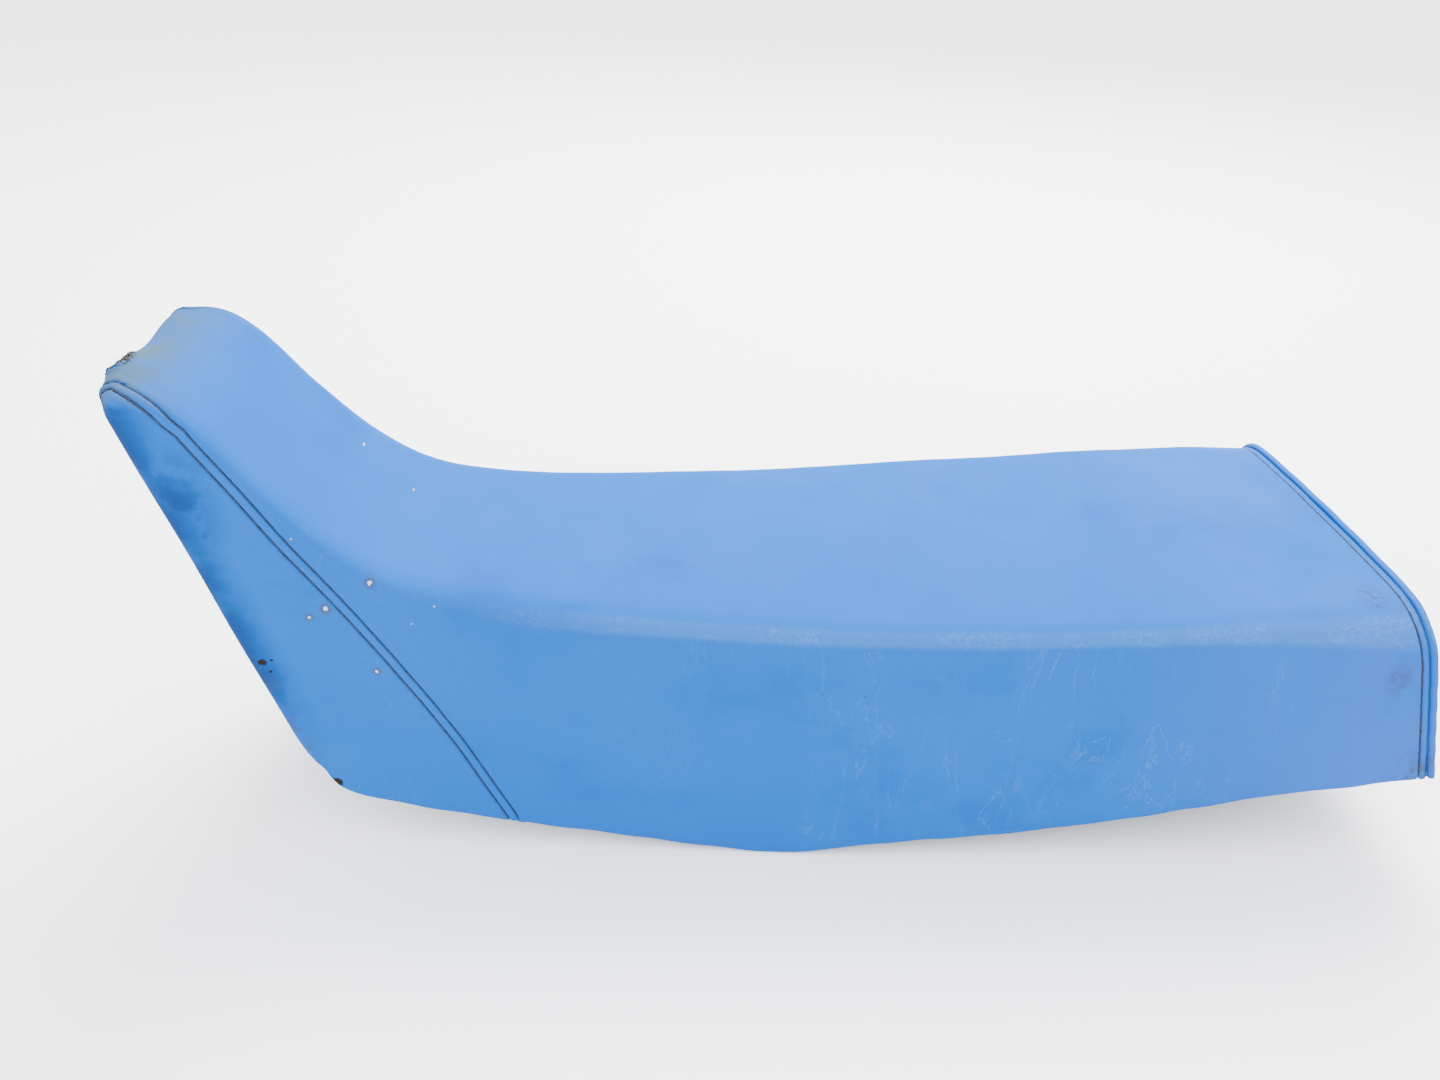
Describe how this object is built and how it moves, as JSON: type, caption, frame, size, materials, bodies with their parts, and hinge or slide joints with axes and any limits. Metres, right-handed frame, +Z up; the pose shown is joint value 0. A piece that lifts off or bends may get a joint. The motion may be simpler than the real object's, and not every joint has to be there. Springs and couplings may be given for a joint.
{
  "type": "motorcycle seat",
  "caption": "One-piece enduro motorcycle seat with a blue vinyl cover over foam on a moulded pan, a high nose, and steel brackets and rubber buffers underneath.",
  "frame": {"origin": "The centre of the bounding box in plan, on the floor that the seat stands on.", "axes": "+X runs from the nose to the rear, +Y across the seat to the rider's right, +Z up."},
  "size_m": [0.7292, 0.267, 0.2824],
  "materials": {
    "blue_vinyl": "soft matt vinyl, slightly faded, with grime at the nose",
    "seat_foam": "moulded polyurethane foam",
    "black_plastic": "moulded polypropylene",
    "navy_thread": "twisted polyester thread",
    "staple_wire": "bright wire",
    "zinc_steel": "zinc plated",
    "black_rubber": "matt rubber"
  },
  "bodies": {
    "root": {"seat_pan": "black_plastic", "pan_ribs": "black_plastic", "foam_core": "seat_foam", "cover_main_panel": "blue_vinyl", "cover_left_gusset": "blue_vinyl", "cover_right_gusset": "blue_vinyl", "cover_rear_panel": "blue_vinyl", "rear_welt": "blue_vinyl", "seam_threads_left": "navy_thread", "seam_threads_right": "navy_thread", "rear_seam_thread": "navy_thread", "cover_staples": "staple_wire", "nose_bracket": "zinc_steel", "mid_hook": "zinc_steel", "rear_bracket_left": "zinc_steel", "rear_bracket_right": "zinc_steel", "bracket_rivets": "zinc_steel", "rubber_buffers": "black_rubber"}
  },
  "joints": []
}
